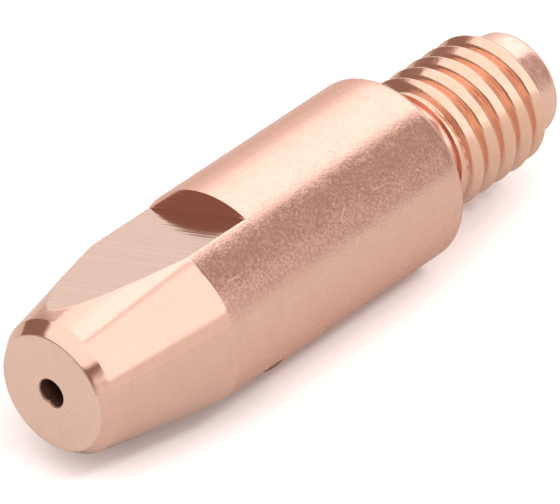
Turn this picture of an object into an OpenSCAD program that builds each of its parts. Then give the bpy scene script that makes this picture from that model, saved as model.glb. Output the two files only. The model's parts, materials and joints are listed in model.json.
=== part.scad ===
// Welding contact tip: one turned copper piece that guides the wire and passes the current on to it.
// The axis is Z. The threaded end stands on z = 0 and the nose points up.

/* [Body] */
// Length from the threaded end to the nose face
tip_l = 28; // [24:0.5:40]
// Diameter of the turned body
body_d = 8; // [7.5:0.1:9]
// Rounding of the body's edge at the shoulder
shoulder_round = 0.35; // [0.1:0.05:0.6]

/* [Nose] */
// Length of the nose, from where the body starts to taper to the nose face
nose_l = 6.25; // [5:0.25:8]
// Diameter at the small end of the taper
nose_d = 5.76; // [5.2:0.02:6.4]
// Length of the chamfer round the nose face, along the axis
nose_chamfer_l = 0.58; // [0.3:0.02:0.9]
// Diameter of the nose face
face_d = 4.96; // [4:0.02:5.1]

/* [Wire hole] */
// Diameter of the welding wire
wire_d = 1; // [0.8:0.1:1.4]
// Play of the wire in its hole, on the diameter
wire_play = 0.2; // [0.1:0.05:0.3]
// Diameter of the lead-in's mouth at the threaded end
lead_in_d = 2.4; // [2:0.1:3]
// Full angle of the lead-in cone
lead_in_angle = 60; // [45:5:90]

/* [Spanner flats] */
// Distance across the two flats
flats_w = 6; // [5.8:0.1:6.6]
// Length of the flats, from the nose face to their step
flats_l = 9.6; // [8.5:0.1:12]

/* [Threaded end] */
// Length of the threaded end, from its end face to the shoulder
stud_l = 8; // [7:0.25:10]
// Outer diameter of the thread
thread_d = 6; // [5.8:0.1:6.4]
// Pitch of the right-hand thread
thread_pitch = 1; // [0.8:0.05:1.25]
// Full angle between the thread's flanks where they are steepest
thread_angle = 60; // [55:1:75]
// Turn of the thread's start about the axis
thread_turn = 100; // [0:5:355]
// Length over which the thread fades out at either end
thread_fade_l = 0.7; // [0.4:0.05:1]
// Diameter of the plain pilot below the thread
pilot_d = 4.6; // [4.2:0.02:4.62]
// Length of the plain pilot
pilot_l = 1.55; // [1:0.05:2.5]
// Rounding of the pilot's end edge
pilot_round = 0.3; // [0.1:0.05:0.5]
// Diameter of the relief groove between thread and shoulder
relief_d = 4.56; // [4.2:0.02:4.6]
// Width of the relief groove
relief_l = 1.3; // [0.6:0.05:1.6]

/* [Hidden] */
$fn = 96;
copper = [0.80, 0.53, 0.42];

// How far one form reaches into its neighbour, and a cut past the surface
overlap = 0.25;

// Heights of the turned profile's corners
shoulder_z = stud_l;
taper_z = tip_l - nose_l;
chamfer_z = tip_l - nose_chamfer_l;
step_z = tip_l - flats_l;
thread_z0 = pilot_l;
thread_z1 = stud_l - relief_l;

hole_d = wire_d + wire_play;
lead_in_l = (lead_in_d - hole_d) / 2 / tan(lead_in_angle / 2);

// Depth at which a rounded wave of this pitch has flanks at the thread angle
thread_depth = thread_pitch / PI / tan(thread_angle / 2);
thread_sides = 36;
rows_per_pitch = 8;
thread_l = thread_z1 - thread_z0;
thread_rows = ceil(thread_l / thread_pitch * rows_per_pitch);

// Height of the rolled thread's rounded profile, 0 at the root and 1 at the crest, at a share of the pitch
function ridge(share) = 0.5 - 0.5 * cos(360 * share);

// 0 at either end of the thread, and 1 where it is fully formed
function fade(z) =
    let (from_end = min(z - thread_z0, thread_z1 - z) / thread_fade_l)
    let (t = min(1, max(0, from_end)))
    t * t * (3 - 2 * t);

// Radius of the thread's surface: the ridge climbs one pitch with each turn
function thread_r(turn, z) =
    thread_d / 2 - thread_depth * (1 - fade(z) * ridge(z / thread_pitch - turn + thread_turn / 360));

// What a rounding of radius r takes off a square corner at the origin; the body lies at -x and +y
module corner_rounding(r) {
    difference() {
        translate([-r, 0])
            square([2 * r, r]);
        translate([-r, r])
            circle(r);
        translate([-2 * r, 0])
            square([r, 2 * r]);
    }
}

// Half section of everything that is turned, apart from the thread
module turned_profile() {
    difference() {
        polygon([
            [0, shoulder_z],
            [body_d / 2, shoulder_z],
            [body_d / 2, taper_z],
            [nose_d / 2, chamfer_z],
            [face_d / 2, tip_l],
            [0, tip_l]
        ]);
        translate([body_d / 2, shoulder_z])
            corner_rounding(shoulder_round);
    }
    translate([0, thread_z1 - overlap])
        square([relief_d / 2, relief_l + 2 * overlap]);
    difference() {
        square([pilot_d / 2, pilot_l + overlap]);
        translate([pilot_d / 2, 0])
            corner_rounding(pilot_round);
    }
}

// Threaded length as one surface: rings of points whose radius follows the helical ridge
module rolled_thread() {
    points = [
        for (row = [0 : thread_rows], side = [0 : thread_sides - 1])
            let (z = thread_z0 + thread_l * row / thread_rows)
            let (turn = side / thread_sides)
            let (r = thread_r(turn, z))
            [r * cos(360 * turn), r * sin(360 * turn), z]
    ];
    walls = [
        for (row = [0 : thread_rows - 1], side = [0 : thread_sides - 1], half = [0, 1])
            let (next = (side + 1) % thread_sides)
            let (low = row * thread_sides)
            let (high = low + thread_sides)
            half == 0 ? [low + side, high + side, high + next] : [low + side, high + next, low + next]
    ];
    bottom = [for (side = [0 : thread_sides - 1]) side];
    top = [for (side = [thread_sides - 1 : -1 : 0]) thread_rows * thread_sides + side];
    polyhedron(points, concat(walls, [bottom, top]), convexity = 8);
}

// Hole for the wire along the whole axis, opened to a cone where the wire is fed in
module wire_hole() {
    translate([0, 0, -overlap])
        cylinder(h = tip_l + 2 * overlap, d = hole_d);
    cylinder(h = lead_in_l, d1 = lead_in_d, d2 = hole_d);
    translate([0, 0, -overlap])
        cylinder(h = overlap, d = lead_in_d);
}

// What the cutter takes off for one flat, from the step up past the nose
module flat_cut() {
    translate([-body_d, flats_w / 2, step_z])
        cube([2 * body_d, body_d, flats_l + overlap]);
}

module contact_tip() {
    color(copper)
        difference() {
            union() {
                difference() {
                    rotate_extrude()
                        turned_profile();
                    flat_cut();
                    rotate([0, 0, 180])
                        flat_cut();
                }
                rolled_thread();
            }
            wire_hole();
        }
}

contact_tip();
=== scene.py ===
"""Looks of a copper welding contact tip: one turned and milled piece on a white table."""
import json
import math

import bpy
import numpy as np
from bpy.props import FloatProperty, FloatVectorProperty, IntProperty, PointerProperty
from mathutils import Matrix, Vector


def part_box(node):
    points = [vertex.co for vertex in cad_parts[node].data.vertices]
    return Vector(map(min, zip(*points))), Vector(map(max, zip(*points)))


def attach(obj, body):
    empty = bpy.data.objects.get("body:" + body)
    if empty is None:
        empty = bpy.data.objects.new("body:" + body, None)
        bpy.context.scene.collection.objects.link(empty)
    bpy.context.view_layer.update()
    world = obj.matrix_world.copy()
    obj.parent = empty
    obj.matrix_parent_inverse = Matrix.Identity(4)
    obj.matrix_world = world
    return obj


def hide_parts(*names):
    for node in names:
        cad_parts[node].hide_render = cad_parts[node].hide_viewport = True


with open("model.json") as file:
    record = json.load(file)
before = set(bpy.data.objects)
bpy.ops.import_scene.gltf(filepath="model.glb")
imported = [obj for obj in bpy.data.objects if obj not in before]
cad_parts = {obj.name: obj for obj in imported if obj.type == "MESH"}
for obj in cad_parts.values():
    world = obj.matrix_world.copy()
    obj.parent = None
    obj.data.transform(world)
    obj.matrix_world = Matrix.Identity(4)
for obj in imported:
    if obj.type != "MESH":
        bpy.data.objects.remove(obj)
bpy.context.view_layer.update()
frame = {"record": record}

bl_info = {
    "name": "Welding contact tip",
    "version": (1, 0, 0),
    "blender": (4, 5, 0),
    "location": "View3D > Sidebar > Contact tip",
    "description": "Builds the copper contact tip and its white table",
    "category": "Add Mesh",
}

# Places and sizes that come from the frame
MM = 0.001
NODE = "contact_tip"
CAD_LOW, CAD_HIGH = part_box(NODE)
MOUNTS = {mount["name"]: mount for mount in frame["record"]["mounts"]}
TIP_LENGTH = CAD_HIGH[2] - CAD_LOW[2]
BODY_RADIUS = CAD_HIGH[0]
HOLE_RADIUS = MOUNTS["wire_hole"]["dims"]["r_mm"] * MM
LEAD_IN_DEPTH = TIP_LENGTH - MOUNTS["wire_hole"]["dims"]["length_mm"] * MM
PILOT_RADIUS = MOUNTS["pilot"]["dims"]["r_mm"] * MM
FLAT_OFFSET = abs(MOUNTS["spanner_flat_front"]["pos_m"][1])

# Finishes in the order of the mesh's material slots
FINISHES = ("satin", "bright", "milled", "step", "face", "thread", "groove", "pilot", "bore")


def length(name, description, default):
    """A size in metres that a user may change."""
    return FloatProperty(
        name=name, description=description, default=default, min=0.0, precision=5,
        unit="LENGTH", subtype="DISTANCE",
    )


def turn(name, description, degrees):
    """An angle that a user may change, given here in degrees."""
    return FloatProperty(
        name=name, description=description, default=math.radians(degrees), subtype="ANGLE",
    )


def colour(name, description, default):
    """A linear colour that a user may change."""
    return FloatVectorProperty(
        name=name, description=description, default=default, min=0.0, max=1.0, size=3,
        subtype="COLOR",
    )


def level(name, description, default):
    """A plain number that a user may change."""
    return FloatProperty(name=name, description=description, default=default, min=0.0)


class ContactTipSizes(bpy.types.PropertyGroup):
    """Sizes of the tip's half section, its thread and its flats."""

    length: length("Length", "Whole length of the tip", TIP_LENGTH)
    body_radius: length("Body radius", "Radius of the plain round body", BODY_RADIUS)
    shoulder_round: length("Shoulder rounding", "Rounding of the body's rear edge", 0.35 * MM)
    stud_length: length("Stud length", "From the end face to the shoulder", 8.0 * MM)
    thread_radius: length("Thread radius", "Radius over the thread's worn crests", 2.94 * MM)
    thread_depth: length("Thread depth", "Height of the worn ridge", 0.42 * MM)
    thread_pitch: length("Thread pitch", "From one crest to the next", 1.0 * MM)
    thread_turn: turn("Thread turn", "Where the thread starts round the axis", 100.0)
    thread_start: length("Thread start", "Height where the thread begins", 1.55 * MM)
    thread_end: length("Thread end", "Height where the thread has run out", 6.5 * MM)
    thread_fade: length("Thread fade", "Length over which the ridge runs out", 0.4 * MM)
    pilot_radius: length("Pilot radius", "Radius of the plain end before the thread", PILOT_RADIUS)
    pilot_round: length("Pilot rounding", "Rounding of the pilot's front edge", 0.4 * MM)
    relief_radius: length("Relief radius", "Radius of the groove by the shoulder", 2.28 * MM)
    flat_offset: length("Flat offset", "From the axis to a spanner flat", FLAT_OFFSET)
    flats_length: length("Flats length", "From the nose back to the flats' step", 9.6 * MM)
    nose_length: length("Nose length", "Length of the taper and its chamfer", 6.25 * MM)
    nose_radius: length("Nose radius", "Radius at the taper's small end", 2.88 * MM)
    chamfer_length: length("Chamfer length", "Length of the nose chamfer", 0.58 * MM)
    face_radius: length("Face radius", "Radius of the flat nose face", 2.48 * MM)
    hole_radius: length("Hole radius", "Radius of the wire hole", HOLE_RADIUS)
    lead_in_radius: length("Lead-in radius", "Radius of the cone where wire enters", 1.2 * MM)
    lead_in_depth: length("Lead-in depth", "Depth of the cone where wire enters", LEAD_IN_DEPTH)
    burr: length("Burr", "How far a burr closes the wire hole at the nose", 0.2 * MM)
    burr_angle: turn("Burr angle", "Where the burr lies round the axis", 55.0)
    edge_break: length("Edge break", "Rounding that tumbling leaves on edges", 0.05 * MM)


class ContactTipColours(bpy.types.PropertyGroup):
    """Tones of copper that the finishes are mixed from."""

    # Pale copper also lightens the relief groove as painted light.
    pale: colour("Pale copper", "Freshly cut, burnished places", (0.84, 0.545, 0.435))
    soft: colour("Soft copper", "Lighter patches of the body", (0.77, 0.478, 0.370))
    plain: colour("Plain copper", "The tumbled body", (0.725, 0.441, 0.337))
    cut: colour("Cut copper", "Deeper milling lines of the flats", (0.735, 0.510, 0.405))
    cut_pale: colour("Pale cut copper", "Raised milling lines of the flats", (0.80, 0.575, 0.470))
    # Matt copper of the nose face is partly its own paler, rougher finish and partly painted light: its
    # tones are raised by about an eighth in place of the brighter table that the face mirrors.
    matt: colour("Matt copper", "Darker patches of the nose face", (0.785, 0.525, 0.413))
    matt_pale: colour("Pale matt copper", "Lighter patches of the nose face", (0.835, 0.570, 0.455))
    # Warm copper of the thread is painted light: its tones are warmer than the body's to stand in for the
    # orange light that bounces between the thread's turns.
    warm: colour("Warm copper", "Darker patches of the thread", (0.76, 0.453, 0.322))
    warm_pale: colour("Pale warm copper", "Lighter patches of the thread", (0.81, 0.503, 0.366))
    deep: colour("Deep copper", "Lighter patches inside the hole", (0.67, 0.392, 0.297))
    brown: colour("Brown copper", "Darker patches inside the hole", (0.30, 0.13, 0.09))
    # The camera's table tone is pink so that its shadow shows painted copper-coloured light, as if
    # bounced from the tip; lamps over-expose the rest to white.
    table: colour("Table", "White table top, as the camera sees it", (1.0, 0.91, 0.885))
    table_mirrored: colour("Mirrored table", "Table top, as the copper sees it", (0.57, 0.57, 0.57))


class ContactTipStage(bpy.types.PropertyGroup):
    """The camera, the table and the light panels round the tip."""

    azimuth: turn("Camera azimuth", "Turn round the tip's axis", -61.73)
    elevation: turn("Camera elevation", "Height above the tip's cross section", 38.10)
    roll: turn("Camera roll", "Turn that lays the tip down in the picture", 123.96)
    distance: length("Camera distance", "From the middle of the view", 313.82 * MM)
    focal: level("Focal length", "In millimetres on a 36 mm sensor", 514.3)
    table_turn: turn("Table turn", "Direction of the table's normal round the axis", -109.24)
    table_size: length("Table size", "Side of the table top", 1.6)
    panel_distance: length("Panel distance", "From the tip to the light panels", 0.5)


class MESH_OT_contact_tip(bpy.types.Operator):
    """Build the copper contact tip as one closed surface"""

    bl_idname = "mesh.contact_tip_add"
    bl_label = "Contact tip"
    bl_options = {"REGISTER", "UNDO"}

    columns_flat: IntProperty(
        name="Columns on a flat", description="Columns of faces across each flat", default=36, min=8,
    )
    columns_round: IntProperty(
        name="Columns between flats", description="Columns of faces from flat to flat", default=76, min=8,
    )

    def execute(self, context):
        sizes = context.scene.contact_tip_sizes
        points, faces, finish = tip_surface(sizes, self.columns_flat, self.columns_round)
        mesh = bpy.data.meshes.new("copper_tip")
        mesh.from_pydata(points.tolist(), [], faces.tolist())
        mesh.shade_smooth()
        mesh.set_sharp_from_angle(angle=SHARP_ANGLE)
        for material in copper_materials(context.scene.contact_tip_colours):
            mesh.materials.append(material)
        mesh.polygons.foreach_set("material_index", finish)
        if mesh.validate():
            raise RuntimeError("The contact tip's surface has broken faces")
        piece = bpy.data.objects.new("copper_tip", mesh)
        context.scene.collection.objects.link(piece)
        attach(piece, "root")
        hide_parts(NODE)
        return {"FINISHED"}


class SCENE_OT_contact_tip_stage(bpy.types.Operator):
    """Set the white table, the light panels and the camera"""

    bl_idname = "scene.contact_tip_stage"
    bl_label = "Table, light and camera"

    def execute(self, context):
        scene = context.scene
        stage = scene.contact_tip_stage
        scene.view_settings.view_transform = "Standard"
        white_room(scene)
        table = white_table(stage, scene.contact_tip_sizes, scene.contact_tip_colours)
        panels = [light_panel(stage, *panel) for panel in PANELS]
        for obj in [table] + panels:
            scene.collection.objects.link(obj)
        camera = product_camera(stage)
        lamps = [table_lamp(stage, *lamp) for lamp in LAMPS]
        for obj in [camera] + lamps:
            scene.collection.objects.link(obj)
        scene.camera = camera
        return {"FINISHED"}


class VIEW3D_PT_contact_tip(bpy.types.Panel):
    """Sizes, colours and the build buttons of the contact tip"""

    bl_label = "Contact tip"
    bl_idname = "VIEW3D_PT_contact_tip"
    bl_space_type = "VIEW_3D"
    bl_region_type = "UI"
    bl_category = "Contact tip"

    def draw(self, context):
        scene = context.scene
        for group in (scene.contact_tip_sizes, scene.contact_tip_colours, scene.contact_tip_stage):
            box = self.layout.box()
            for name in group.__annotations__:
                box.prop(group, name)
        self.layout.operator(MESH_OT_contact_tip.bl_idname)
        self.layout.operator(SCENE_OT_contact_tip_stage.bl_idname)


# Shape of the tip

# Edges that turn by more than this stay sharp
SHARP_ANGLE = math.radians(34.0)

# Reach of the hole's burr round the axis and down the hole
BURR_SPREAD = math.radians(24.0)
BURR_REACH = 0.22 * MM

# Broken edge of a flat, in edge breaks: half the width of its band, and how far it is taken down
EDGE_BAND = 0.6
EDGE_DROP = 0.15

# The thread's ridge: the share of its depth that the gentle flanks take, half the width of the steep
# groove in pitches, and the rounding of the crest in pitches
FLANK_SHARE = 0.62
GROOVE_WIDTH = 0.17
CREST_ROUND = 0.03


def straight(start, end, rows):
    """Points spaced evenly from start up to, but not including, end."""
    share = np.arange(rows)[:, None] / rows
    return start + share * (end - start)


def corner_arc(before, corner, after, radius, rows):
    """An arc of the radius that touches both sides of a corner, as rows + 1 points.

    Each point is the middle of the circle plus the radius times a direction that turns evenly from
    the first side's normal to the second's.
    """
    into = (corner - before) / np.linalg.norm(corner - before)
    out = (after - corner) / np.linalg.norm(after - corner)
    bend = math.atan2(into[0] * out[1] - into[1] * out[0], into @ out)
    reach = radius * math.tan(abs(bend) / 2.0)
    first_normal = np.array((-into[1], into[0])) * math.copysign(1.0, bend)
    middle = corner - reach * into + radius * first_normal
    angle = np.linspace(0.0, bend, rows + 1)
    start = -radius * first_normal
    return middle + np.stack((
        start[0] * np.cos(angle) - start[1] * np.sin(angle),
        start[0] * np.sin(angle) + start[1] * np.cos(angle),
    ), axis=1)


def half_section(s):
    """The closed half section as rows of (radius, height), each with its finish.

    The section runs from the end face up the outside, over the nose and back down the wire hole.
    Every corner that has a rounding is an arc, and the side that follows it is divided evenly.
    """
    top = s.length
    root = s.thread_radius - s.thread_depth
    step = top - s.flats_length
    step_run = 0.016 * MM
    taper = top - s.nose_length
    chamfer = top - s.chamfer_length
    edge = s.edge_break
    corners = (
        # radius, height, rounding, rows on the rounding, rows on the next side, its finish
        (s.lead_in_radius, 0.0, edge, 4, 5, "face"),
        (s.pilot_radius, 0.0, s.pilot_round, 8, 6, "pilot"),
        (s.pilot_radius, s.thread_start, 0.4 * edge, 2, 2, "thread"),
        (root, s.thread_start, 0.4 * edge, 2, 140, "thread"),
        (root, s.thread_end, 0.4 * edge, 2, 2, "groove"),
        (s.relief_radius, s.thread_end, 0.4 * edge, 2, 4, "groove"),
        (s.relief_radius, s.stud_length, 2.0 * edge, 4, 8, "groove"),
        (s.body_radius, s.stud_length, s.shoulder_round, 8, 20, "satin"),
        (s.body_radius, step, 0.0, 0, 8, "step"),
        (s.body_radius, step + step_run, 0.0, 0, 10, "satin"),
        (s.body_radius, taper, 12.0 * edge, 3, 26, "bright"),
        (s.nose_radius, chamfer, 3.0 * edge, 5, 4, "bright"),
        (s.face_radius, top, 2.0 * edge, 5, 10, "face"),
        (s.hole_radius, top, edge, 4, 30, "bore"),
        (s.hole_radius, s.lead_in_depth, edge, 3, 4, "bore"),
    )
    places = np.array([corner[:2] for corner in corners])
    arcs = []
    for index, (_, _, rounding, rows, _, _) in enumerate(corners):
        if rounding:
            after = places[(index + 1) % len(corners)]
            arcs.append(corner_arc(places[index - 1], places[index], after, rounding, rows))
        else:
            arcs.append(places[index:index + 1])
    section = []
    finish = []
    for index, (_, _, _, _, rows, name) in enumerate(corners):
        arc = arcs[index]
        side = straight(arc[-1], arcs[(index + 1) % len(corners)][0], rows)
        section += [arc[:-1], side]
        finish += [FINISHES.index(name)] * (len(arc) - 1 + rows)
    return np.concatenate(section), np.array(finish)


def flat_half_angle(s, radius):
    """Half the angle that a flat takes up on a round of this radius: acos(offset / radius)."""
    least = math.radians(5.0)
    ratio = np.minimum(s.flat_offset / np.maximum(radius, s.flat_offset), 1.0)
    return np.maximum(np.arccos(ratio), least)


def column_angles(half_angle, columns_flat, columns_round):
    """The angle round the axis of every column, in each row, and its angle from the nearest flat.

    On a flat the tangent of the angle is shared out by a sine and between flats the angle itself by
    a cosine, so the columns stand closest at the flats' edges and follow them up the taper.
    """
    across = np.sin(math.pi / 2.0 * (2.0 * np.arange(columns_flat) / columns_flat - 1.0))
    on_flat = np.arctan(np.tan(half_angle)[:, None] * across)
    even = np.arange(columns_round) / columns_round
    around = 0.35 * even + 0.65 * (0.5 - 0.5 * np.cos(math.pi * even))
    between = half_angle[:, None] + around * (math.pi - 2.0 * half_angle[:, None])
    one_side = np.concatenate((on_flat, between), axis=1)
    angle = np.concatenate((one_side - math.pi / 2.0, one_side + math.pi / 2.0), axis=1)
    from_flat = np.where(one_side > math.pi / 2.0, one_side - math.pi, one_side)
    return angle, np.concatenate((from_flat, from_flat), axis=1)


def thread_wave(place):
    """A ridge for each pitch, from 0 in the groove to 1 at the crest.

    With x the distance from the crest in pitches, it falls by a share of 2 x, which is a hyperbola
    at the crest so that the crest is rounded, and by the rest in a smooth step at the groove.
    """
    away = np.abs(place - np.floor(place) - 0.5)
    rounded = np.hypot(away, CREST_ROUND) - CREST_ROUND
    rounded = rounded / (math.hypot(0.5, CREST_ROUND) - CREST_ROUND)
    into = np.clip((away - 0.5 + GROOVE_WIDTH) / GROOVE_WIDTH, 0.0, 1.0)
    return 1.0 - FLANK_SHARE * rounded - (1.0 - FLANK_SHARE) * into * into * (3.0 - 2.0 * into)


def thread_ridge(s, angle, height):
    """How far the rolled ridge stands above the root: depth times fade times the thread's wave.

    The wave climbs one pitch with each turn. It fades out by the shoulder, and in by the pilot over
    half that length.
    """
    wave = thread_wave(height / s.thread_pitch - (angle - s.thread_turn) / (2.0 * math.pi))
    from_end = np.minimum(2.0 * (height - s.thread_start), s.thread_end - height) / s.thread_fade
    fade = np.clip(from_end, 0.0, 1.0)
    return s.thread_depth * fade * fade * (3.0 - 2.0 * fade) * wave


def hole_burr(s, section, nose, angle):
    """How far a burr closes the wire hole at the nose: a bell curve round the axis and down the hole.

    It is nothing on the nose face, except at the hole's edge, and nothing outside.
    """
    turned = np.angle(np.exp(1j * (angle - s.burr_angle))) / BURR_SPREAD
    down = (s.length - section[:, 1:]) / BURR_REACH
    across = np.clip((section[:, :1] - s.hole_radius) / (2.0 * s.edge_break), 0.0, 1.0)
    inside = (np.arange(len(section)) >= nose)[:, None] * (1.0 - across)
    return s.burr * inside * np.exp(-turned ** 2) * np.exp(-down ** 2)


def tip_surface(s, columns_flat, columns_round):
    """Points, quads and finishes of the tip.

    A point is (r cos a, r sin a, z): z and the plain radius come from the half section, and a from
    the column. The thread adds its ridge to r, and a flat takes r down to offset / cos of the angle
    from the flat, with the two radii blended over a narrow band that stands for the broken edge.
    """
    section, row_finish = half_section(s)
    plain = section[:, :1]
    height = section[:, 1:]
    step = s.length - s.flats_length
    nose = np.argmax(section[:, 1] >= s.length)
    outside = np.arange(len(section)) < nose
    flats_rows = (outside & (section[:, 1] >= step - 1e-7))[:, None]
    full = flat_half_angle(s, s.body_radius)
    half_angle = np.where(flats_rows, flat_half_angle(s, plain), full)
    down_hole = 1.0 - section[nose:, 1] / s.length
    half_angle[nose:, 0] = half_angle[nose - 1, 0] + down_hole * (full - half_angle[nose - 1, 0])
    angle, from_flat = column_angles(half_angle[:, 0], columns_flat, columns_round)

    thread_rows = (row_finish == FINISHES.index("thread"))[:, None]
    ridge = np.where(thread_rows, thread_ridge(s, angle, height), 0.0)
    flat_radius = s.flat_offset / np.maximum(np.cos(from_flat), 0.05)
    gap = np.abs(plain - flat_radius)
    near_edge = np.clip(1.0 - gap / (EDGE_BAND * s.edge_break), 0.0, 1.0)
    broken = near_edge ** 2 * EDGE_DROP * s.edge_break
    cut = np.maximum(plain - np.minimum(plain, flat_radius) + broken, 0.0)
    step_rows = np.flatnonzero(row_finish == FINISHES.index("step"))
    cut_share = flats_rows.astype(float)
    cut_share[step_rows, 0] = np.arange(len(step_rows)) / len(step_rows)
    radius = plain + ridge - cut_share * cut - hole_burr(s, section, nose, angle)

    points = np.stack((
        radius * np.cos(angle), radius * np.sin(angle), np.broadcast_to(height, angle.shape),
    ), axis=2)
    rows, columns = angle.shape
    number = np.arange(rows * columns).reshape(rows, columns)
    right = np.roll(number, -1, axis=1)
    quads = np.stack((number, right, np.roll(right, -1, axis=0), np.roll(number, -1, axis=0)), axis=2)

    milled = (cut_share * (plain - flat_radius) > 1e-8)
    corner_milled = sum(np.roll(milled.astype(int), shift, axis=(0, 1))
                        for shift in ((0, 0), (-1, 0), (0, -1), (-1, -1)))
    finish = np.broadcast_to(row_finish[:, None], angle.shape).copy()
    on_step = finish == FINISHES.index("step")
    on_flat = (corner_milled >= 2) & (np.abs(from_flat) < half_angle - 1e-6)
    finish[on_step & ~on_flat] = FINISHES.index("satin")
    finish[on_flat & ~on_step & flats_rows] = FINISHES.index("milled")
    return points.reshape(-1, 3), quads.reshape(-1, 4), finish.ravel()


# Materials

def node(tree, kind, settings=None, inputs=None):
    """Add a node with its options, and set or link its inputs by name or number."""
    made = tree.nodes.new(kind)
    for name, value in (settings or {}).items():
        setattr(made, name, value)
    for name, value in (inputs or {}).items():
        if isinstance(value, bpy.types.NodeSocket):
            tree.links.new(value, made.inputs[name])
        else:
            made.inputs[name].default_value = value
    return made


def maths(tree, operation, first, second=0.0):
    """The output of a Math node on two values or sockets."""
    return node(tree, "ShaderNodeMath", {"operation": operation}, {0: first, 1: second}).outputs[0]


def weighted(tree, first, first_weight, second, second_weight):
    """The sum of two values, each times its weight."""
    first_part = maths(tree, "MULTIPLY", first, first_weight)
    return maths(tree, "ADD", first_part, maths(tree, "MULTIPLY", second, second_weight))


def spread(tree, value, low, high, to_low=0.0, to_high=1.0):
    """A value moved from one range to another and clamped to it."""
    inputs = {0: value, 1: low, 2: high, 3: to_low, 4: to_high}
    return node(tree, "ShaderNodeMapRange", {"clamp": True}, inputs).outputs[0]


def blend(tree, share, first, second):
    """A colour between two colours."""
    inputs = {0: share, 6: first, 7: second}
    return node(tree, "ShaderNodeMix", {"data_type": "RGBA"}, inputs).outputs[2]


def noise(tree, place, scale, detail=2.0, roughness=0.5, dimensions="3D"):
    """A Noise texture's value at a place, which is one number where it has one dimension."""
    inputs = {"Scale": scale, "Detail": detail, "Roughness": roughness}
    inputs["W" if dimensions == "1D" else "Vector"] = place
    settings = {"noise_dimensions": dimensions}
    return node(tree, "ShaderNodeTexNoise", settings, inputs).outputs[0]


def effect_group(name, inputs, outputs):
    """An empty shader node group with named sockets, and its input and output nodes."""
    group = bpy.data.node_groups.new(name, "ShaderNodeTree")
    for socket, kind in inputs:
        group.interface.new_socket(name=socket, in_out="INPUT", socket_type=kind)
    for socket in outputs:
        group.interface.new_socket(name=socket, in_out="OUTPUT", socket_type="NodeSocketFloat")
    return group, group.nodes.new("NodeGroupInput").outputs, group.nodes.new("NodeGroupOutput").inputs


def grain_group():
    """Tumbled grain from noise in millimetres: fine pitting, broad soft patches and dull specks."""
    sockets = (("Place", "NodeSocketVector"), ("Fineness", "NodeSocketFloat"))
    group, given, result = effect_group("tumbled_grain", sockets, ("Mottle", "Pitting", "Specks"))
    fine = noise(group, given["Place"], given["Fineness"], 3.0, 0.62)
    broad = noise(group, given["Place"], 1.3, 2.0, 0.5)
    both = weighted(group, fine, 0.6, broad, 0.4)
    group.links.new(spread(group, both, 0.36, 0.64), result["Mottle"])
    group.links.new(spread(group, fine, 0.3, 0.7), result["Pitting"])
    speck = noise(group, given["Place"], maths(group, "MULTIPLY", given["Fineness"], 1.1), 4.0, 0.7)
    group.links.new(spread(group, speck, 0.44, 0.72), result["Specks"])
    return group


def tool_group():
    """Tool lines: one-dimensional noise along a measured place, coarse feed marks with fine ones."""
    sockets = (("Along", "NodeSocketFloat"), ("Lines", "NodeSocketFloat"))
    group, given, result = effect_group("tool_lines", sockets, ("Lines",))
    coarse = noise(group, maths(group, "MULTIPLY", given["Along"], given["Lines"]), 1.0, 1.0, 0.5, "1D")
    denser = maths(group, "MULTIPLY", given["Lines"], 3.1)
    fine = noise(group, maths(group, "MULTIPLY", given["Along"], denser), 1.0, 0.0, 0.5, "1D")
    both = weighted(group, coarse, 0.6, fine, 0.4)
    group.links.new(spread(group, both, 0.3, 0.7), result["Lines"])
    return group


def marks_group():
    """Handling marks, a few to the square centimetre, each in its own cell of a Voronoi texture.

    A nick is a small ball round the cell's point. A scratch is where the surface crosses a plane
    through that point, in a direction that the cell's colour gives, within a short reach of it.
    """
    sockets = (("Place", "NodeSocketVector"),)
    group, given, result = effect_group("handling_marks", sockets, ("Nicks", "Scratches"))

    def cells(scale):
        """The outputs of a Voronoi texture, and three random numbers for each of its cells."""
        texture = node(group, "ShaderNodeTexVoronoi", {"feature": "F1"}, {
            "Vector": given["Place"], "Scale": scale,
        }).outputs
        chance = node(group, "ShaderNodeSeparateColor", None, {0: texture["Color"]}).outputs
        return texture, chance

    texture, chance = cells(0.9)
    size = spread(group, chance[0], 0.86, 1.0, 0.0, 0.13)
    nicks = spread(group, maths(group, "SUBTRACT", size, texture["Distance"]), 0.0, 0.04)
    group.links.new(nicks, result["Nicks"])
    texture, chance = cells(0.7)
    offset = node(group, "ShaderNodeVectorMath", {"operation": "SUBTRACT"}, {
        0: given["Place"], 1: texture["Position"],
    }).outputs[0]
    heading = node(group, "ShaderNodeVectorMath", {"operation": "SUBTRACT"}, {
        0: texture["Color"], 1: (0.5, 0.5, 0.5),
    }).outputs[0]
    heading = node(group, "ShaderNodeVectorMath", {"operation": "NORMALIZE"}, {0: heading}).outputs[0]
    aside = node(group, "ShaderNodeVectorMath", {"operation": "DOT_PRODUCT"}, {0: offset, 1: heading})
    line = spread(group, maths(group, "ABSOLUTE", aside.outputs["Value"]), 0.006, 0.022, 1.0, 0.0)
    near = spread(group, texture["Distance"], 0.18, 0.34, 1.0, 0.0)
    picked = spread(group, chance[1], 0.45, 0.8)
    scratch = maths(group, "MULTIPLY", maths(group, "MULTIPLY", line, near), picked)
    group.links.new(scratch, result["Scratches"])
    return group


# Tint of light that grazes the cut copper, and of light that grazes the tumbled body
EDGE_TINT = (1.0, 0.90, 0.86)
TUMBLED_TINT = (1.0, 0.80, 0.73)

# Depth of nicks and scratches in millimetres
MARK_DEPTH = 0.012


def opaque(tone):
    """A colour property with an alpha of one."""
    return (*tone, 1.0)


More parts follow.
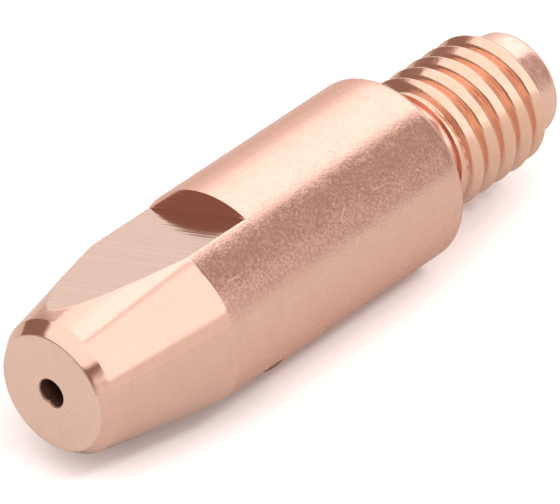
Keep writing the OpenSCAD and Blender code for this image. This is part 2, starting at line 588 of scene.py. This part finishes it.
def copper_finish(name, groups, dark, light, rough, grain, lines, marks, along="height", edge=EDGE_TINT):
    """One finish of copper.

    dark and light are the tones that the mottle goes between and rough the range of roughness.
    grain is (fineness, depth, roughness of its specks) and lines (lines a millimetre, depth, share
    of the tone and roughness), with depths in millimetres.
    marks is how far nicks and scratches show. Lines follow the height, the radius on a face, or the
    distance from the flat on its step. edge is the tint of light that grazes the surface.
    """
    material = bpy.data.materials.new("copper_" + name)
    material.use_nodes = True
    tree = material.node_tree
    tree.nodes.clear()
    where = node(tree, "ShaderNodeTexCoord").outputs["Object"]
    scale = (1.0 / MM,) * 3
    place = node(tree, "ShaderNodeMapping", None, {"Vector": where, "Scale": scale}).outputs[0]
    axes = node(tree, "ShaderNodeSeparateXYZ", None, {0: place}).outputs
    if along == "radius":
        squares = [maths(tree, "MULTIPLY", axes[i], axes[i]) for i in (0, 1)]
        measured = maths(tree, "SQRT", maths(tree, "ADD", *squares))
    else:
        measured = axes[2 if along == "height" else 1]

    def effect(group, inputs):
        """The outputs of one of the shared effects."""
        return node(tree, "ShaderNodeGroup", {"node_tree": groups[group]}, inputs).outputs

    tumbled = effect("grain", {"Place": place, "Fineness": grain[0]})
    tooled = effect("tool", {"Along": measured, "Lines": lines[0]})
    handled = effect("marks", {"Place": place})
    worn = weighted(tree, tumbled["Mottle"], 1.0 - lines[2], tooled["Lines"], lines[2])
    base = blend(tree, worn, opaque(dark), opaque(light))
    bare = maths(tree, "MAXIMUM", handled["Nicks"], handled["Scratches"])
    bare = maths(tree, "MULTIPLY", bare, marks)
    base = blend(tree, bare, base, opaque(light))
    roughness = spread(tree, worn, 0.0, 1.0, rough[1], rough[0])
    roughness = maths(tree, "ADD", roughness, maths(tree, "MULTIPLY", tumbled["Specks"], grain[2]))
    height = weighted(tree, tumbled["Pitting"], grain[1], tooled["Lines"], lines[1])
    height = maths(tree, "SUBTRACT", height, maths(tree, "MULTIPLY", bare, MARK_DEPTH))
    bump = node(tree, "ShaderNodeBump", None, {"Strength": 1.0, "Distance": MM, "Height": height})
    shader = node(tree, "ShaderNodeBsdfPrincipled", None, {
        "Base Color": base, "Metallic": 1.0, "Roughness": roughness, "Normal": bump.outputs[0],
        "Specular Tint": opaque(edge),
    })
    node(tree, "ShaderNodeOutputMaterial", None, {"Surface": shader.outputs[0]})
    return material


def copper_materials(tones):
    """The tip's materials in the order of FINISHES."""
    groups = {"grain": grain_group(), "tool": tool_group(), "marks": marks_group()}
    finishes = {
        "satin": (
            tones.plain, tones.soft, (0.12, 0.24), (7.0, 0.003, 0.22), (5.0, 0.0, 0.0), 0.6,
            "height", TUMBLED_TINT,
        ),
        "bright": (
            tones.plain, tones.soft, (0.07, 0.13), (5.0, 0.0004, 0.0), (6.0, 0.0003, 0.4), 0.15,
        ),
        "milled": (
            tones.cut, tones.cut_pale, (0.08, 0.20), (5.0, 0.0006, 0.0), (3.2, 0.0030, 0.7), 0.2,
        ),
        "step": (
            tones.plain, tones.pale, (0.08, 0.16), (5.0, 0.0006, 0.0), (9.0, 0.0004, 0.7), 0.0,
            "depth",
        ),
        # The nose face: matt tones, partly its own finish and partly painted reflected light
        "face": (
            tones.matt, tones.matt_pale, (0.25, 0.34), (6.0, 0.0012, 0.0), (7.0, 0.001, 0.2), 0.0,
            "radius",
        ),
        # The thread: warm tones as painted bounce light between its turns
        "thread": (
            tones.warm, tones.warm_pale, (0.12, 0.30), (3.0, 0.004, 0.0), (5.0, 0.0006, 0.2), 0.3,
        ),
        # The relief groove: the lighter soft and pale tones are painted light, in place of the light that
        # the groove's upper side catches
        "groove": (
            tones.soft, tones.pale, (0.12, 0.25), (5.0, 0.001, 0.0), (5.0, 0.0006, 0.3), 0.0,
        ),
        "pilot": (
            tones.soft, tones.pale, (0.14, 0.32), (3.0, 0.005, 0.15), (5.0, 0.0006, 0.2), 0.3,
        ),
        "bore": (
            tones.brown, tones.deep, (0.35, 0.5), (5.0, 0.002, 0.0), (5.0, 0.001, 0.3), 0.0,
        ),
    }
    return [copper_finish(name, groups, *finishes[name]) for name in FINISHES]


# Table, light and camera

# name, azimuth, elevation, width as a share of the stage's distance, watts
# The small lamp gives the edge of the closest shadow, and the large ones soften the rest.
LAMPS = (
    ("contact_lamp", 5.0, 55.0, 0.14, 0.6),
    ("nose_lamp", -82.0, 52.0, 0.8, 1.0),
    ("front_lamp", 10.0, 62.0, 0.8, 0.5),
)

# name, azimuths, elevations, fades (first side, second side, lower, upper),
# distance, brightness, tint
# Azimuth turns from the camera's side of the table towards the tip's thread. Angles are in degrees,
# and a panel's distance is a share of the stage's, so a nearer panel hides one behind it.
PANELS = (
    ("overhead_softbox", (56.0, 156.0), (14.0, 89.0), (10.0, 28.0, 16.0, 0.0),
     0.99, 1.85, (1.0, 1.0, 1.06)),
    ("nose_softbox", (120.0, 345.0), (14.0, 89.0), (8.0, 12.0, 16.0, 0.0),
     1.0, 1.5, (1.0, 1.0, 1.04)),
    ("front_softbox", (-46.0, 56.0), (14.0, 89.0), (8.0, 10.0, 4.0, 0.0),
     0.98, 1.6, (1.0, 1.0, 1.04)),
    ("dark_front", (34.0, 83.0), (-2.0, 62.0), (4.0, 4.0, 8.0, 5.0),
     0.9, 0.5, (1.0, 0.8, 0.77)),
    ("dark_nose", (150.0, 328.0), (-4.0, 42.0), (12.0, 8.0, 4.0, 6.0),
     0.86, 0.34, (1.0, 0.7, 0.62)),
)

# Points of a panel's grid along its azimuth and its elevation, and along a side of the table
PANEL_GRID = (131, 97)
TABLE_GRID = 9

# Point that the camera looks at
MIDDLE_OF_VIEW = Vector((0.226 * MM, 0.573 * MM, 14.6 * MM))


def table_axes(stage):
    """The table's own directions in the tip's frame: towards the camera, to the thread and up."""
    up = Vector((math.cos(stage.table_turn), math.sin(stage.table_turn), 0.0))
    thread = Vector((0.0, 0.0, -1.0))
    return Vector((up.y, -up.x, 0.0)), thread, up


def tip_middle():
    """The middle of the tip's axis."""
    return Vector((0.0, 0.0, TIP_LENGTH / 2.0))


def white_room(scene):
    """An even white world."""
    world = bpy.data.worlds.new("white_room")
    world.use_nodes = True
    tree = world.node_tree
    tree.nodes.clear()
    light = node(tree, "ShaderNodeBackground", None, {"Color": (1.0, 1.0, 1.0, 1.0), "Strength": 1.0})
    node(tree, "ShaderNodeOutputWorld", None, {"Surface": light.outputs[0]})
    scene.world = world


def table_lamp(stage, name, azimuth, elevation, width, watts):
    """An area lamp that lights the table but doesn't show in the copper."""
    toward, thread, up = table_axes(stage)
    turned = math.radians(azimuth)
    raised = math.radians(elevation)
    level_part = math.cos(turned) * toward + math.sin(turned) * thread
    direction = math.cos(raised) * level_part + math.sin(raised) * up
    data = bpy.data.lights.new(name, "AREA")
    data.shape = "SQUARE"
    data.size = width * stage.panel_distance
    data.energy = watts
    lamp = bpy.data.objects.new(name, data)
    lamp.visible_glossy = False
    lamp.visible_camera = False
    turn_to_tip = direction.to_track_quat("Z", "Y").to_matrix().to_4x4()
    lamp.matrix_world = Matrix.Translation(tip_middle() + stage.panel_distance * direction) @ turn_to_tip
    return lamp


def white_table(stage, s, tones):
    """A square table top that touches the lying body, and is clear when seen from below.

    The camera sees it over-exposed, so only the closest shadow shows, tinted pink as painted light
    bounced from the copper, and metal sees it as white.
    """
    toward, thread, up = (np.array(axis) for axis in table_axes(stage))
    middle = np.array(tip_middle()) - up * s.body_radius
    side = np.linspace(-0.5, 0.5, TABLE_GRID) * stage.table_size
    across, along = np.meshgrid(side, side)
    points = middle + across[..., None] * toward + along[..., None] * thread
    mesh = grid_mesh("white_table", points)
    material = bpy.data.materials.new("white_table")
    material.use_nodes = True
    tree = material.node_tree
    tree.nodes.clear()
    below = node(tree, "ShaderNodeNewGeometry").outputs["Backfacing"]
    direct = node(tree, "ShaderNodeLightPath").outputs["Is Camera Ray"]
    # The camera sees the pink table tone, whose tint paints copper-bounced light into the shadow, and the
    # copper sees the grey mirrored one.
    white = blend(tree, direct, opaque(tones.table_mirrored), opaque(tones.table))
    top = node(tree, "ShaderNodeBsdfDiffuse", None, {"Color": white}).outputs[0]
    clear = node(tree, "ShaderNodeBsdfTransparent").outputs[0]
    both = node(tree, "ShaderNodeMixShader", None, {0: below, 1: top, 2: clear}).outputs[0]
    node(tree, "ShaderNodeOutputMaterial", None, {"Surface": both})
    mesh.materials.append(material)
    return bpy.data.objects.new("white_table", mesh)


def light_panel(stage, name, azimuth, elevation, fades, distance, brightness, tint):
    """A patch of a sphere round the tip that only reflections see.

    A point is the middle of the tip plus the distance times the direction of its azimuth and
    elevation over the table. The panel thins out over its fade at each of its four edges.
    """
    toward, thread, up = (np.array(axis) for axis in table_axes(stage))
    columns, rows = PANEL_GRID
    turned, raised = np.meshgrid(np.linspace(*azimuth, columns), np.linspace(*elevation, rows))
    level_part = np.cos(np.radians(turned))[..., None] * toward
    level_part = level_part + np.sin(np.radians(turned))[..., None] * thread
    direction = np.cos(np.radians(raised))[..., None] * level_part
    direction = direction + np.sin(np.radians(raised))[..., None] * up
    mesh = grid_mesh(name, np.array(tip_middle()) + distance * stage.panel_distance * direction)
    from_edges = (turned - azimuth[0], azimuth[1] - turned, raised - elevation[0], elevation[1] - raised)
    cover = np.min([gap / fade for gap, fade in zip(from_edges, fades) if fade], axis=0)
    cover = np.clip(cover, 0.0, 1.0)
    mesh.attributes.new("cover", "FLOAT", "POINT").data.foreach_set("value", cover.ravel())
    material = bpy.data.materials.new(name)
    material.use_nodes = True
    tree = material.node_tree
    tree.nodes.clear()
    share = node(tree, "ShaderNodeAttribute", {"attribute_name": "cover"}).outputs["Fac"]
    glow = node(tree, "ShaderNodeEmission", None, {"Color": opaque(tint), "Strength": brightness})
    clear = node(tree, "ShaderNodeBsdfTransparent")
    both = node(tree, "ShaderNodeMixShader", None, {0: share, 1: clear.outputs[0], 2: glow.outputs[0]})
    node(tree, "ShaderNodeOutputMaterial", None, {"Surface": both.outputs[0]})
    mesh.materials.append(material)
    panel = bpy.data.objects.new(name, mesh)
    panel.visible_camera = False
    panel.visible_diffuse = False
    panel.visible_shadow = False
    panel.visible_transmission = False
    return panel


def grid_mesh(name, points):
    """A mesh of quads over a grid of points."""
    rows, columns = points.shape[:2]
    number = np.arange(rows * columns).reshape(rows, columns)
    quads = np.stack((number[:-1, :-1], number[:-1, 1:], number[1:, 1:], number[1:, :-1]), axis=2)
    mesh = bpy.data.meshes.new(name)
    mesh.from_pydata(points.reshape(-1, 3).tolist(), [], quads.reshape(-1, 4).tolist())
    return mesh


def product_camera(stage):
    """A long-lens camera that looks at the tip from the azimuth and elevation, rolled on its axis."""
    back = Vector((
        math.sin(stage.azimuth) * math.cos(stage.elevation),
        -math.cos(stage.azimuth) * math.cos(stage.elevation),
        math.sin(stage.elevation),
    ))
    level_right = (-back).cross(Vector((0.0, 0.0, 1.0))).normalized()
    level_up = level_right.cross(-back)
    up = math.cos(stage.roll) * level_up + math.sin(stage.roll) * level_right
    right = (-back).cross(up)
    data = bpy.data.cameras.new("product_camera")
    data.sensor_width = 36.0
    data.lens = stage.focal
    data.clip_start = 0.01
    data.clip_end = 10.0
    camera = bpy.data.objects.new("product_camera", data)
    turned = Matrix((right, up, back)).transposed().to_4x4()
    camera.matrix_world = Matrix.Translation(MIDDLE_OF_VIEW + stage.distance * back) @ turned
    return camera


CLASSES = (
    ContactTipSizes,
    ContactTipColours,
    ContactTipStage,
    MESH_OT_contact_tip,
    SCENE_OT_contact_tip_stage,
    VIEW3D_PT_contact_tip,
)


def register():
    """Register the classes and hang the settings on the scene."""
    for cls in CLASSES:
        bpy.utils.register_class(cls)
    bpy.types.Scene.contact_tip_sizes = PointerProperty(type=ContactTipSizes)
    bpy.types.Scene.contact_tip_colours = PointerProperty(type=ContactTipColours)
    bpy.types.Scene.contact_tip_stage = PointerProperty(type=ContactTipStage)


def unregister():
    """Take the settings off the scene and unregister the classes."""
    del bpy.types.Scene.contact_tip_stage
    del bpy.types.Scene.contact_tip_colours
    del bpy.types.Scene.contact_tip_sizes
    for cls in reversed(CLASSES):
        bpy.utils.unregister_class(cls)


def main():
    """Build the tip and its stage."""
    register()
    bpy.ops.mesh.contact_tip_add()
    bpy.ops.scene.contact_tip_stage()
    bpy.context.view_layer.update()


if __name__ == "__main__":
    main()
